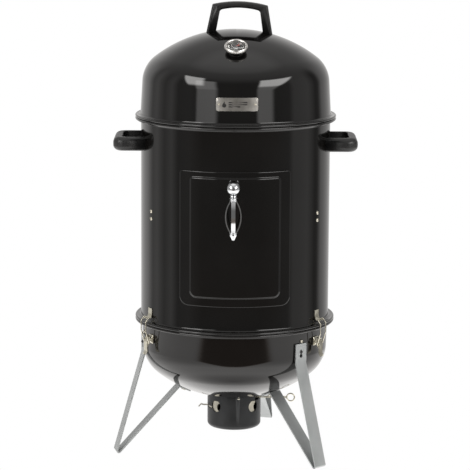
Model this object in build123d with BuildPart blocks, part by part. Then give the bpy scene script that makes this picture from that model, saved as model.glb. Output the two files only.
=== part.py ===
"""Upright charcoal water smoker: bowl on three legs, barrel with a fire door, domed lid.

Millimetres, +Z up, front is -Y, origin on the barrel's axis at floor level.
Azimuths are degrees counter-clockwise from +X, so the front is at -90.
"""
from build123d import *
import math
import os

os.makedirs("parts", exist_ok=True)

# ---- driving dimensions ----------------------------------------------------------------
BODY_R = 220.0          # outside of the barrel
WALL = 2.0              # enamelled steel sheet
SEAM_TOP = 787.6        # where the lid rests on the barrel
SEAM_LOW = 314.3        # where the barrel rests on the bowl
BEAD_R = 3.1            # rolled rims
BEAD_OUT = 233.4        # outermost reach of the rolled rims
GAP = 0.3               # air between bodies that move apart
SNUG = 0.05             # air between pieces that are fastened together

LID_TOP = 989.4
LID_CROWN_R = 309.4
LID_KNUCKLE_R = 74.4
LID_WALL_R = 217.1
LID_FLARE = 3.3         # degrees the lid's wall leans outwards

BOWL_BOTTOM = 122.6
BOWL_CROWN_R = 297.8
BOWL_KNUCKLE_R = 80.4
BOWL_WALL_R = 216.2

DOOR_HALF_W = 125.7
DOOR_LOW, DOOR_HIGH = 377.0, 687.0
PAD_HALF_W = 102.0
PAD_LOW, PAD_HIGH = 398.0, 673.4
DOOR_R = BODY_R + 1.2   # inside of the door's border
DOOR_SHEET = 1.6
PAD_RISE = 4.0
OPENING_HALF_W = 104.0
OPENING_LOW, OPENING_HIGH = 395.5, 672.0

LATCH_X, LATCH_Z = -4.0, 655.6
LATCH_Y = -259.0        # axis of the hanging grip
BALL_R = 15.0

BRACKET_AZIMUTHS = (-151, -31, 89)
BRACKET_SCREW_Z = (562.0, 579.0)
LEG_AZIMUTHS = {"front_right": -46, "back": 74, "left": 194}
CLASP_AZIMUTHS = {"right": -31, "left": -152, "back": 90}

UPPER_GRATE_Z, LOWER_GRATE_Z, PAN_RIM_Z, COAL_GRATE_Z = 700.0, 596.0, 548.0, 268.0

CAN_R, CAN_BOTTOM, CAN_WALL = 63.0, 50.0, 1.5
AIR_HOLE_R, AIR_HOLE_Z = 13.75, 105.0
AIR_AZIMUTHS = (-133, -44, 46, 136)
DAMPER_OFFSET = 13      # degrees the damper's holes sit past the can's holes

MINZ = (Align.CENTER, Align.CENTER, Align.MIN)


# ---- planes and surfaces ---------------------------------------------------------------
def around(azimuth, radius, height=0.0):
    """A point on a circle about the axis."""
    a = math.radians(azimuth)
    return (radius * math.cos(a), radius * math.sin(a), height)


def radial_plane(azimuth):
    """Upright plane through the axis: local x points outwards, local y up."""
    a = math.radians(azimuth)
    return Plane(origin=(0, 0, 0), x_dir=(math.cos(a), math.sin(a), 0),
                 z_dir=(math.sin(a), -math.cos(a), 0))


def facing_plane(azimuth, radius, height):
    """Plane that touches a cylinder: local z points outwards, local y up."""
    a = math.radians(azimuth)
    return Plane(origin=around(azimuth, radius, height),
                 x_dir=(-math.sin(a), math.cos(a), 0), z_dir=(math.cos(a), math.sin(a), 0))


def dome_plane(azimuth, radius, crown_r, top, lift=0.0):
    """Plane that touches a dome's outside at a radius; lift moves it outwards.

    A negative crown_r is a dome that hangs downwards, such as the bowl's bottom.
    """
    tilt = math.asin(radius / abs(crown_r))
    side = 1 if crown_r > 0 else -1
    reach = abs(crown_r) + lift
    height = top - crown_r + side * reach * math.cos(tilt)
    a = math.radians(azimuth)
    return Plane(origin=around(azimuth, reach * math.sin(tilt), height),
                 x_dir=(-math.sin(a), math.cos(a), 0),
                 z_dir=(math.sin(tilt) * math.cos(a), math.sin(tilt) * math.sin(a),
                        side * math.cos(tilt)))


def bowl_height(radius, inside=False):
    """Height of the bowl's rounded bottom, outside or inside, within its crown."""
    r = BOWL_CROWN_R - (WALL if inside else 0)
    return BOWL_BOTTOM + BOWL_CROWN_R - math.sqrt(r * r - radius * radius)


def dome_wall(crown_r, knuckle_r, wall_r):
    """Where a dome's knuckle is centred, out from the axis and up from the apex, and its start angle."""
    out = wall_r - knuckle_r
    drop = math.sqrt((crown_r - knuckle_r) ** 2 - out ** 2)
    return out, drop - crown_r, math.degrees(math.atan2(out, drop))


def save(part, name):
    """Label a finished piece and write it as its own STEP file."""
    part.label = name
    export_step(part, f"parts/{name}.step")


# ---- lid -------------------------------------------------------------------------------
lid_cx, lid_cz, lid_lean = dome_wall(LID_CROWN_R, LID_KNUCKLE_R, LID_WALL_R)
half_wall = WALL / 2
THERMO_R = 147.0
thermo_plane = dome_plane(-90, THERMO_R, LID_CROWN_R, LID_TOP)
LID_HANDLE_X = 66.0     # the handle's feet, either side of its middle
LID_HANDLE_OFF = 1.4    # degrees the handle sits round the dome towards +X
dome_turn = Axis((0, 0, LID_TOP - LID_CROWN_R), (0, 1, 0))
LID_RIM_Z = SEAM_TOP + GAP + BEAD_R

with BuildPart() as lid_shell:
    with BuildSketch(Plane.XZ):
        with BuildLine():
            crown = CenterArc((0, LID_TOP - LID_CROWN_R), LID_CROWN_R - half_wall, 90, -lid_lean)
            knuckle = CenterArc((lid_cx, LID_TOP + lid_cz), LID_KNUCKLE_R - half_wall,
                                90 - lid_lean, -(90 - LID_FLARE - lid_lean))
            side_drop = (knuckle @ 1).Y - LID_RIM_Z - 2 * BEAD_R
            side = PolarLine(knuckle @ 1, side_drop / math.cos(math.radians(LID_FLARE)),
                             LID_FLARE - 90)
            JernArc(side @ 1, side % 1, 6, 70)
        trace(line_width=WALL)
        with Locations((BEAD_OUT - BEAD_R, LID_RIM_Z)):
            Circle(BEAD_R)
        with BuildLine():
            Line((BODY_R + 3, LID_RIM_Z + 1.6), (BEAD_OUT - BEAD_R, LID_RIM_Z + 1.6))
        trace(line_width=WALL)
    revolve(axis=Axis.Z)
    with Locations(thermo_plane):
        Cylinder(5.2, 30, mode=Mode.SUBTRACT)
    for x in (-LID_HANDLE_X, LID_HANDLE_X):
        drill = Pos(x, 0, LID_TOP) * Cylinder(3.2, 60, mode=Mode.PRIVATE)
        add(drill.rotate(dome_turn, LID_HANDLE_OFF), mode=Mode.SUBTRACT)
save(lid_shell.part, "lid_shell")

# Three tongues inside the lid keep it centred on the barrel.
with BuildPart() as lid_tongues:
    for azimuth in (-30, 90, 210):
        with BuildSketch(radial_plane(azimuth)):
            with BuildLine():
                Polyline((216.9, SEAM_TOP + 30), (216.6, SEAM_TOP + 4), (216.0, SEAM_TOP - 14))
            trace(line_width=1.2)
        extrude(amount=9, both=True)
save(lid_tongues.part, "lid_tongues")

# ---- lid handle: two posts and a crowned grip ----------------------------------------
HANDLE_TOP, HANDLE_SHOULDER, HANDLE_FOOT = 1053.5, 1045.5, 972.0
HANDLE_DEPTH = 29.0
with BuildPart() as lid_handle:
    with BuildSketch(Plane.XZ) as handle_sketch:
        with BuildLine():
            ThreePointArc((-64, HANDLE_SHOULDER), (0, HANDLE_TOP), (64, HANDLE_SHOULDER))
            Polyline((64, HANDLE_SHOULDER), (78, HANDLE_FOOT), (-78, HANDLE_FOOT), (-64, HANDLE_SHOULDER))
        make_face()
        with BuildLine():
            inner_top = ThreePointArc((-46, 1033.5), (0, 1039.5), (46, 1033.5))
            Polyline((46, 1033.5), (56, HANDLE_FOOT - 1), (-56, HANDLE_FOOT - 1), (-46, 1033.5))
        make_face(mode=Mode.SUBTRACT)
        fillet(handle_sketch.vertices().group_by(Axis.Y)[-3], 8)
        fillet(handle_sketch.vertices().group_by(Axis.Y)[-2], 8)
        fillet(handle_sketch.vertices().group_by(Axis.Y)[-1], 3)
    extrude(amount=HANDLE_DEPTH / 2, both=True)
    fillet(lid_handle.faces().filter_by(Axis.Y).edges(), 6.2)
    with Locations((0, 0, LID_TOP - LID_CROWN_R)):
        Sphere(LID_CROWN_R + SNUG, mode=Mode.SUBTRACT)
    with Locations((-LID_HANDLE_X, 0, LID_TOP - 30), (LID_HANDLE_X, 0, LID_TOP - 30)):
        Cylinder(2.6, 50, align=MINZ, mode=Mode.SUBTRACT)
save(lid_handle.part.rotate(dome_turn, LID_HANDLE_OFF), "lid_handle")

handle_screw_z = LID_TOP - LID_CROWN_R + math.sqrt((LID_CROWN_R - WALL) ** 2 - (LID_HANDLE_X + 7) ** 2)
with BuildPart() as lid_handle_screws:
    with Locations((-LID_HANDLE_X, 0, handle_screw_z), (LID_HANDLE_X, 0, handle_screw_z)):
        Cylinder(2.5, 24, align=MINZ)
    with Locations((-LID_HANDLE_X, 0, handle_screw_z), (LID_HANDLE_X, 0, handle_screw_z)):
        Cylinder(5.5, 3, align=(Align.CENTER, Align.CENTER, Align.MAX))
save(lid_handle_screws.part.rotate(dome_turn, LID_HANDLE_OFF), "lid_handle_screws")

# ---- thermometer -----------------------------------------------------------------------
BEZEL_R = 26.5
CASE_LIFT = 7.0
with BuildPart() as thermo_case:
    with BuildSketch(thermo_plane * Plane.XZ):
        with BuildLine():
            Polyline((0, 1.2), (13, 1.2), (15, 2.0), (15, CASE_LIFT - 1.5), (BEZEL_R - 2.5, CASE_LIFT),
                     (BEZEL_R, CASE_LIFT + 2), (BEZEL_R, CASE_LIFT + 7), (BEZEL_R - 2, CASE_LIFT + 9.5),
                     (BEZEL_R - 4.6, CASE_LIFT + 8.2), (BEZEL_R - 4.6, CASE_LIFT + 2.6),
                     (0, CASE_LIFT + 2.6), close=True)
        make_face()
    revolve(axis=Axis(thermo_plane.origin, thermo_plane.z_dir))
    with Locations(thermo_plane):
        Cylinder(3.1, 30, mode=Mode.SUBTRACT)
save(thermo_case.part, "thermo_case")

dial_plane = thermo_plane.offset(CASE_LIFT + 2.6 + SNUG)
DIAL_R = BEZEL_R - 4.8
with BuildPart() as thermo_dial:
    with BuildSketch(dial_plane):
        Circle(DIAL_R)
        Circle(1.3, mode=Mode.SUBTRACT)
    extrude(amount=0.8)
save(thermo_dial.part, "thermo_dial")

with BuildPart() as thermo_needle:
    with BuildSketch(dial_plane.offset(1.2)):
        with BuildLine():
            Polyline((-14.5, -0.35), (-4, -1.1), (9, -1.9), (9, 1.9), (-4, 1.1), (-14.5, 0.35), close=True)
        make_face()
        Circle(3)
    extrude(amount=0.5)
    with Locations(dial_plane.offset(-4.2)):
        Cylinder(1.2, 5.6, align=MINZ)
needle_turned = thermo_needle.part.rotate(Axis(dial_plane.origin, dial_plane.z_dir), 48)
save(needle_turned, "thermo_needle")

with BuildPart() as thermo_glass:
    with BuildSketch(dial_plane.offset(3.2)):
        Circle(DIAL_R)
    extrude(amount=1.6)
save(thermo_glass.part, "thermo_glass")

with BuildPart() as thermo_stem:
    with Locations(thermo_plane.offset(4.4)):
        Cylinder(3.0, 74, align=(Align.CENTER, Align.CENTER, Align.MAX))
save(thermo_stem.part, "thermo_stem")

with BuildPart() as thermo_nut:
    with BuildSketch(thermo_plane.offset(-WALL - 7.5)):
        RegularPolygon(9, 6)
        Circle(3.0 + SNUG, mode=Mode.SUBTRACT)
    extrude(amount=6)
save(thermo_nut.part, "thermo_nut")

# ---- name plate, left plain ------------------------------------------------------------
PLATE_AZIMUTH, PLATE_Z, PLATE_W, PLATE_H, PLATE_T = -89.2, 839.6, 94.0, 30.0, 1.2
lean = math.tan(math.radians(LID_FLARE))
plate_inner = LID_WALL_R + 0.35 + (LID_TOP + lid_cz - PLATE_Z) * lean
with BuildPart() as name_plate:
    with BuildSketch(facing_plane(PLATE_AZIMUTH, 0, PLATE_Z)):
        RectangleRounded(PLATE_W, PLATE_H, 4)
        with Locations((-PLATE_W / 2 + 6, 0), (PLATE_W / 2 - 6, 0)):
            Circle(1.7, mode=Mode.SUBTRACT)
    extrude(amount=BODY_R + 20)
    with BuildSketch(Plane.XZ):
        with BuildLine():
            Polyline((plate_inner - 20 * lean, PLATE_Z + 20), (plate_inner + 20 * lean, PLATE_Z - 20),
                     (plate_inner + PLATE_T + 20 * lean, PLATE_Z - 20),
                     (plate_inner + PLATE_T - 20 * lean, PLATE_Z + 20), close=True)
        make_face()
    revolve(axis=Axis.Z, mode=Mode.INTERSECT)
save(name_plate.part, "name_plate")

plate_rivet_turn = math.degrees((PLATE_W / 2 - 6) / (plate_inner + PLATE_T))
with BuildPart() as plate_rivets:
    for turn in (-plate_rivet_turn, plate_rivet_turn):
        with Locations(facing_plane(PLATE_AZIMUTH + turn, plate_inner + PLATE_T + 3 * SNUG, PLATE_Z)):
            Sphere(2.6, arc_size1=0, align=MINZ)
save(plate_rivets.part, "plate_rivets")

# ---- barrel with its door opening ------------------------------------------------------
HANDLE_Z, HANDLE_REACH, HANDLE_HALF_L, HANDLE_TALL = 729.0, 282.5, 75.0, 32.0
HANDLE_BULLNOSE, HANDLE_EASE = 13.0, 3.0
GRIP_THICK, ARM_THICK = 20.0, 18.0
ARM_Y = HANDLE_HALF_L - ARM_THICK / 2


def rim_sketch(seam, up):
    """Add a rolled rim on a seam to the sketch in hand; up is 1 for a rim above it, -1 below."""
    middle = seam + up * BEAD_R
    with BuildLine() as flare:
        wall_end = (BODY_R - half_wall, middle + up * 9)
        Line((BODY_R - half_wall, middle + up * 16), wall_end)
        JernArc(wall_end, (0, -up), 6, up * 75)
    trace(flare.line, line_width=WALL)
    with BuildLine() as flange:
        Line((BODY_R + 2, middle + up * 1.8), (BEAD_OUT - BEAD_R, middle + up * 1.8))
    trace(flange.line, line_width=WALL)
    with Locations((BEAD_OUT - BEAD_R, middle)):
        Circle(BEAD_R)


with BuildPart() as barrel:
    with BuildSketch(Plane.XZ):
        rim_sketch(SEAM_TOP, -1)
        rim_sketch(SEAM_LOW, 1)
        with BuildLine():
            Line((BODY_R - half_wall, SEAM_LOW + 18), (BODY_R - half_wall, SEAM_TOP - 18))
        trace(line_width=WALL)
    revolve(axis=Axis.Z)
    with BuildSketch(Plane.XZ.offset(100)):
        with Locations((0, (OPENING_LOW + OPENING_HIGH) / 2)):
            RectangleRounded(2 * OPENING_HALF_W, OPENING_HIGH - OPENING_LOW, 8)
    extrude(amount=BODY_R, mode=Mode.SUBTRACT)
    for azimuth in BRACKET_AZIMUTHS:
        with Locations(*[facing_plane(azimuth, BODY_R, z) for z in BRACKET_SCREW_Z]):
            Cylinder(2.6, 20, mode=Mode.SUBTRACT)
    with BuildSketch(Plane.YZ):
        with Locations((-ARM_Y, HANDLE_Z), (ARM_Y, HANDLE_Z)):
            Circle(2.6)
    extrude(amount=BODY_R + 5, both=True, mode=Mode.SUBTRACT)
save(barrel.part, "barrel")

# ---- side handles: a U-shaped grip on each side -----------------------------------------
for side, sign in (("right", 1), ("left", -1)):
    with BuildPart() as side_handle:
        with BuildSketch(Plane.XY.offset(HANDLE_Z)) as bow:
            with Locations((sign * (HANDLE_REACH + 190) / 2, 0)):
                Rectangle(HANDLE_REACH - 190, 2 * HANDLE_HALF_L)
            fillet(bow.vertices().filter_by(lambda v, sign=sign: sign * v.X > 200), 26)
        extrude(amount=HANDLE_TALL / 2, both=True)
        fillet(side_handle.faces().filter_by(Axis.Z).edges()
               .filter_by(lambda e, sign=sign: sign * e.center().X > 191), HANDLE_BULLNOSE)
        with BuildSketch(Plane.XY.offset(HANDLE_Z)) as finger_gap:
            with Locations((sign * (HANDLE_REACH - GRIP_THICK + 180) / 2, 0)):
                Rectangle(HANDLE_REACH - GRIP_THICK - 180, 2 * (HANDLE_HALF_L - ARM_THICK))
            fillet(finger_gap.vertices().filter_by(lambda v, sign=sign: sign * v.X > 200), 15)
        extrude(amount=HANDLE_TALL / 2, both=True, mode=Mode.SUBTRACT)
        fillet(side_handle.faces().filter_by(Axis.Z).edges()
               .filter_by(lambda e, sign=sign: abs(e.center().Y) < HANDLE_HALF_L - ARM_THICK + 1
                          and 191 < sign * e.center().X < HANDLE_REACH - GRIP_THICK + 1), HANDLE_EASE)
        with Locations((0, 0, HANDLE_Z)):
            Cylinder(BODY_R + SNUG, 100, mode=Mode.SUBTRACT)
        for y in (-ARM_Y, ARM_Y):
            with Locations(Plane(origin=(sign * 200, y, HANDLE_Z), z_dir=(sign, 0, 0))):
                Cylinder(2.6, 52, align=MINZ, mode=Mode.SUBTRACT)
    save(side_handle.part, f"side_handle_{side}")

inner_x = math.sqrt((BODY_R - WALL) ** 2 - (ARM_Y - 5) ** 2) - 4.3
with BuildPart() as side_handle_screws:
    for sign in (-1, 1):
        for y in (-ARM_Y, ARM_Y):
            with Locations(Plane(origin=(sign * (inner_x - 4.5), y, HANDLE_Z), z_dir=(sign, 0, 0))):
                Cylinder(5.0, 3.5, align=MINZ)
                Cylinder(2.5, 50, align=MINZ)
save(side_handle_screws.part, "side_handle_screws")

# ---- fire door: a curved pressing that tilts out on its lower edge ------------------------
def curved_sheet(inner_r, thickness, half_w, low, high, corner, low_corner, mode=Mode.ADD):
    """Add or cut a sheet bent round the barrel's front, with rounded corners."""
    with BuildSketch(Plane.XZ, mode=Mode.PRIVATE) as outline:
        with Locations((0, (low + high) / 2)):
            Rectangle(2 * half_w, high - low)
        fillet(outline.vertices().group_by(Axis.Y)[0], low_corner)
        fillet(outline.vertices().group_by(Axis.Y)[-1], corner)
    block = extrude(outline.sketch, amount=inner_r + 40, mode=Mode.PRIVATE)
    ring = Pos(0, 0, low) * Cylinder(inner_r + thickness, high - low, align=MINZ, mode=Mode.PRIVATE)
    core = Pos(0, 0, low) * Cylinder(inner_r, high - low, align=MINZ, mode=Mode.PRIVATE)
    add(block & (ring - core), mode=mode)


with BuildPart() as door_panel:
    curved_sheet(DOOR_R, DOOR_SHEET, DOOR_HALF_W, DOOR_LOW, DOOR_HIGH, 7, 20)
    curved_sheet(DOOR_R, DOOR_SHEET + PAD_RISE, PAD_HALF_W, PAD_LOW, PAD_HIGH, 7, 14)
    fillet(door_panel.edges().filter_by(
        lambda e: abs(math.hypot(e.center().X, e.center().Y) - DOOR_R - DOOR_SHEET - PAD_RISE) < 0.01
        or (e.length > 150 and abs((e @ 0.5).Y + DOOR_R + DOOR_SHEET + PAD_RISE) < 0.05)), 2.0)
    inset = DOOR_SHEET + 0.4
    curved_sheet(DOOR_R - 1, PAD_RISE + 1, PAD_HALF_W - inset, PAD_LOW + inset, PAD_HIGH - inset, 6, 12,
                 Mode.SUBTRACT)
    with Locations(Plane(origin=(LATCH_X, -DOOR_R, LATCH_Z), z_dir=(0, -1, 0))):
        Cylinder(4.2, 30, mode=Mode.SUBTRACT)
save(door_panel.part, "door_panel")

# Two lips carry the door on the opening's lower edge; they roll off it as the door tilts.
pad_inside = DOOR_R + PAD_RISE - 2 * GAP
with BuildPart() as door_lips:
    for azimuth in (-112, -68):
        with BuildSketch(radial_plane(azimuth)):
            with BuildLine():
                Polyline((pad_inside - 1.7, OPENING_LOW + 26), (pad_inside - 1.7, OPENING_LOW + 12),
                         (BODY_R - 1, OPENING_LOW + 1.2), (BODY_R - 14, OPENING_LOW + 1.2))
            trace(line_width=1.5)
        extrude(amount=9, both=True)
save(door_lips.part, "door_lips")

# ---- door latch: hanging grip on a spindle, with a tongue behind the opening's edge -------
latch_axis = Plane(origin=(LATCH_X, LATCH_Y, LATCH_Z), z_dir=(0, 1, 0))
TONGUE_Y = -208.0
CAGE_TOP, CAGE_LOW, CAGE_HALF_W = 634.6, 549.0, 17.2
with BuildPart() as latch_ball:
    with Locations((LATCH_X, LATCH_Y, LATCH_Z)):
        Sphere(BALL_R)
    with Locations((LATCH_X, LATCH_Y, LATCH_Z - BALL_R + 1)):
        Cylinder(7.5, LATCH_Z - BALL_R + 1 - SNUG - CAGE_TOP, align=(Align.CENTER, Align.CENTER, Align.MAX))
    with Locations(latch_axis):
        Cylinder(6.5, 26, align=MINZ)
    fillet(latch_ball.edges().group_by(Axis.Z)[0], 1.5)
save(latch_ball.part, "latch_ball")

with BuildPart() as latch_cage:
    for turn in range(4):
        strip_plane = Plane(origin=(LATCH_X, LATCH_Y, (CAGE_TOP + CAGE_LOW) / 2),
                            x_dir=(math.cos(turn * math.pi / 2), math.sin(turn * math.pi / 2), 0),
                            z_dir=(math.sin(turn * math.pi / 2), -math.cos(turn * math.pi / 2), 0))
        half = (CAGE_TOP - CAGE_LOW) / 2 - 0.5
        with BuildSketch(strip_plane):
            with BuildLine():
                low_end = Line((5.2, -half), (6.6, -half + 7))
                high_end = Line((6.6, half - 7), (5.2, half))
                bulge = ThreePointArc(low_end @ 1, (CAGE_HALF_W, 0), high_end @ 0)
            trace(line_width=2.6)
        extrude(amount=4.6, both=True)
    with Locations((LATCH_X, LATCH_Y, CAGE_TOP)):
        Cylinder(8.4, 7, align=(Align.CENTER, Align.CENTER, Align.MAX))
    with Locations((LATCH_X, LATCH_Y, CAGE_LOW)):
        Cylinder(8.4, 7, align=MINZ)
    with Locations((LATCH_X, LATCH_Y, CAGE_LOW)):
        Cone(8.4, 2.5, 11, align=MINZ, rotation=(180, 0, 0))
save(latch_cage.part, "latch_cage")

with BuildPart() as latch_spindle:
    with Locations(Plane(origin=(LATCH_X, LATCH_Y + 26 + SNUG, LATCH_Z), z_dir=(0, 1, 0))):
        Cylinder(3.9, TONGUE_Y - LATCH_Y - 26 + 6, align=MINZ)
save(latch_spindle.part, "latch_spindle")

with BuildPart() as latch_tongue:
    with BuildSketch(Plane(origin=(LATCH_X, TONGUE_Y, LATCH_Z), x_dir=(-1, 0, 0), z_dir=(0, 1, 0))):
        with Locations((11, 0)):
            RectangleRounded(40, 15, 4)
        Circle(3.9 + SNUG, mode=Mode.SUBTRACT)
    extrude(amount=2.4)
save(latch_tongue.part, "latch_tongue")

with BuildPart() as latch_nut:
    with BuildSketch(Plane(origin=(LATCH_X, TONGUE_Y + 2.4 + SNUG, LATCH_Z), z_dir=(0, 1, 0))):
        RegularPolygon(7, 6)
        Circle(3.9 + SNUG, mode=Mode.SUBTRACT)
    extrude(amount=3)
save(latch_nut.part, "latch_nut")

# ---- inside the barrel: brackets, two grates and the water pan ----------------------------
BRACKET_HALF_W = 10.0
bracket_r = BODY_R - WALL - 0.4
with BuildPart() as grate_brackets:
    for azimuth in BRACKET_AZIMUTHS:
        with BuildSketch(radial_plane(azimuth)):
            with BuildLine():
                Line((bracket_r - 1, PAN_RIM_Z - 6), (bracket_r - 1, UPPER_GRATE_Z))
            trace(line_width=2)
            for height, reach in ((UPPER_GRATE_Z, 22), (LOWER_GRATE_Z, 22), (PAN_RIM_Z, 28)):
                with BuildLine():
                    Line((bracket_r - 1, height - 1.3), (bracket_r - reach, height - 1.3))
                trace(line_width=2)
        extrude(amount=BRACKET_HALF_W, both=True)
        with Locations(*[facing_plane(azimuth, BODY_R, z) for z in BRACKET_SCREW_Z]):
            Cylinder(2.6, 20, mode=Mode.SUBTRACT)
    with Locations((0, 0, PAN_RIM_Z - 10)):
        Cylinder(BODY_R - WALL - SNUG, 200, align=MINZ, mode=Mode.INTERSECT)
save(grate_brackets.part, "grate_brackets")

SCREW_HEAD_R = 4.4
with BuildPart() as bracket_screws:
    for azimuth in BRACKET_AZIMUTHS:
        with Locations(*[facing_plane(azimuth, BODY_R + SNUG, z) for z in BRACKET_SCREW_Z]):
            Sphere(SCREW_HEAD_R, arc_size1=0, align=MINZ)
            Cylinder(2.5, 11, align=(Align.CENTER, Align.CENTER, Align.MAX))
save(bracket_screws.part, "bracket_screws")


def grate(radius, height, rod_r, spacing):
    """Add a round grate: a rim of heavier wire, parallel rods and two cross rods below."""
    count = int(radius // spacing)
    reach = radius - 1
    for row in range(-count, count + 1):
        offset_y = row * spacing
        with Locations(Plane(origin=(0, offset_y, height + rod_r + 0.5), z_dir=(1, 0, 0))):
            Cylinder(rod_r, 2 * math.sqrt(reach ** 2 - offset_y ** 2))
    for offset_x in (-radius / 2, radius / 2):
        with Locations(Plane(origin=(offset_x, 0, height + rod_r - 1.6), z_dir=(0, 1, 0))):
            Cylinder(rod_r - 0.1, 2 * math.sqrt(reach ** 2 - offset_x ** 2))
    with BuildSketch(Plane.XZ) as rim:
        with Locations((radius, height + rod_r)):
            Circle(rod_r + 0.6)
    revolve(rim.sketch, axis=Axis.Z)


with BuildPart() as upper_grate:
    grate(205, UPPER_GRATE_Z + GAP + 1.5, 2.2, 18)
save(upper_grate.part, "upper_grate")

with BuildPart() as lower_grate:
    grate(205, LOWER_GRATE_Z + GAP + 1.5, 2.2, 18)
save(lower_grate.part, "lower_grate")

PAN_R, PAN_DEPTH = 178.0, 88.0
with BuildPart() as water_pan:
    with BuildSketch(Plane.XZ):
        with BuildLine():
            pan_floor = Line((0, PAN_RIM_Z - PAN_DEPTH), (PAN_R - 50, PAN_RIM_Z - PAN_DEPTH))
            pan_bend = JernArc(pan_floor @ 1, (1, 0), 40, 75)
            pan_side = PolarLine(pan_bend @ 1, 52, direction=pan_bend % 1)
            pan_lip = JernArc(pan_side @ 1, pan_side % 1, 3, -75)
            Line(pan_lip @ 1, (206, (pan_lip @ 1).Y))
        trace(line_width=1.2)
    revolve(axis=Axis.Z)
pan_low = PAN_RIM_Z + GAP + 0.6 - (pan_lip @ 1).Y
save(Pos(0, 0, pan_low) * water_pan.part, "water_pan")

# ---- bowl ----------------------------------------------------------------------------------
bowl_cx, bowl_cz, bowl_lean = dome_wall(BOWL_CROWN_R, BOWL_KNUCKLE_R, BOWL_WALL_R)
SPINDLE_R = 5.0
ASH_SLOT_IN, ASH_SLOT_OUT = 14.0, 50.0
LEG_STUD_Z = 262.0
BOWL_SCREW_Z = 286.0
INNER_BOLT_R = 121.0
CAN_SCREW_AZIMUTHS = (-81.6, 38.4, 158.4)
CAN_SCREW_R = 71.5
bowl_wall_r = BOWL_WALL_R + 1.4     # outside of the bowl's wall where the legs are bolted

with BuildPart() as bowl:
    with BuildSketch(Plane.XZ):
        with BuildLine():
            crown = CenterArc((0, BOWL_BOTTOM + BOWL_CROWN_R), BOWL_CROWN_R - half_wall, -90, bowl_lean)
            knuckle = CenterArc((bowl_cx, BOWL_BOTTOM - bowl_cz), BOWL_KNUCKLE_R - half_wall,
                                bowl_lean - 90, 88.5 - bowl_lean)
            side = Line(knuckle @ 1, (BODY_R - 3, SEAM_LOW - BEAD_R - 10))
            JernArc(side @ 1, side % 1, 8, -62)
        trace(line_width=WALL)
        with BuildLine():
            Line((BODY_R + 1, SEAM_LOW - BEAD_R - 1.8), (BEAD_OUT - BEAD_R, SEAM_LOW - BEAD_R - 1.8))
        trace(line_width=WALL)
        with Locations((BEAD_OUT - BEAD_R, SEAM_LOW - BEAD_R)):
            Circle(BEAD_R)
    revolve(axis=Axis.Z)
    with Locations((0, 0, BOWL_BOTTOM)):
        Cylinder(SPINDLE_R + SNUG, 20, mode=Mode.SUBTRACT)
    with BuildSketch(Plane.XY.offset(BOWL_BOTTOM - 5)):
        Circle(ASH_SLOT_OUT)
        Circle(ASH_SLOT_IN, mode=Mode.SUBTRACT)
        for azimuth in (30, 150, 270):
            with Locations(Location(around(azimuth, ASH_SLOT_OUT / 2), azimuth)):
                Rectangle(ASH_SLOT_OUT + 4, 26, mode=Mode.SUBTRACT)
    extrude(amount=20, mode=Mode.SUBTRACT)
    for azimuth in LEG_AZIMUTHS.values():
        with Locations(facing_plane(azimuth, bowl_wall_r, LEG_STUD_Z)):
            Cylinder(3.1, 20, mode=Mode.SUBTRACT)
        with Locations(facing_plane(azimuth, bowl_wall_r, BOWL_SCREW_Z)):
            Cylinder(2.6, 20, mode=Mode.SUBTRACT)
        with Locations(dome_plane(azimuth, INNER_BOLT_R, -BOWL_CROWN_R, BOWL_BOTTOM)):
            Cylinder(3.1, 20, mode=Mode.SUBTRACT)
    for azimuth in CAN_SCREW_AZIMUTHS:
        with Locations(dome_plane(azimuth, CAN_SCREW_R, -BOWL_CROWN_R, BOWL_BOTTOM)):
            Cylinder(2.1, 20, mode=Mode.SUBTRACT)
save(bowl.part, "bowl")

BOWL_SCREW_HEAD_R = 4.4
with BuildPart() as bowl_brackets:
    for azimuth in LEG_AZIMUTHS.values():
        with BuildSketch(radial_plane(azimuth)):
            with BuildLine():
                Polyline((bowl_wall_r - WALL - 2.6, BOWL_SCREW_Z + 10), (bowl_wall_r - WALL - 3.6, COAL_GRATE_Z - 1.2),
                         (bowl_wall_r - 22, COAL_GRATE_Z - 1.2))
            trace(line_width=2)
        extrude(amount=9, both=True)
        with Locations(facing_plane(azimuth, bowl_wall_r, BOWL_SCREW_Z)):
            Cylinder(2.6, 20, mode=Mode.SUBTRACT)
save(bowl_brackets.part, "bowl_brackets")

with BuildPart() as bowl_screws:
    for azimuth in LEG_AZIMUTHS.values():
        with Locations(facing_plane(azimuth, bowl_wall_r + 0.8, BOWL_SCREW_Z)):
            Sphere(BOWL_SCREW_HEAD_R, arc_size1=0, align=MINZ)
            Cylinder(2.5, 9, align=(Align.CENTER, Align.CENTER, Align.MAX))
save(bowl_screws.part, "bowl_screws")

with BuildPart() as charcoal_grate:
    grate(204, COAL_GRATE_Z + GAP + 1.5, 2.6, 22)
save(charcoal_grate.part, "charcoal_grate")

# ---- legs: one flat bar each, bent into a narrow V -----------------------------------------
LEG_W, LEG_T = 34.0, 3.0
FOOT_R, FOOT_BEND_R = 281.5, 4.0
LEG_TOP_Z, LEG_KINK_Z = 281.5, 236.0
leg_r = bowl_wall_r + LEG_T / 2 + 0.5
inner_end = dome_plane(0, INNER_BOLT_R - 12, -BOWL_CROWN_R, BOWL_BOTTOM, LEG_T / 2 + 0.6).origin
inner_kink = dome_plane(0, INNER_BOLT_R + 14, -BOWL_CROWN_R, BOWL_BOTTOM, LEG_T / 2 + 0.6).origin
foot_height = FOOT_BEND_R + LEG_T / 2


def tangent_angle(x, y, radius, side):
    """Direction from a point to the far side of the foot's bend, tangent to its circle."""
    distance = math.hypot(FOOT_R - x, foot_height - y)
    return math.degrees(math.atan2(foot_height - y, FOOT_R - x) + side * math.asin(radius / distance))


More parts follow.
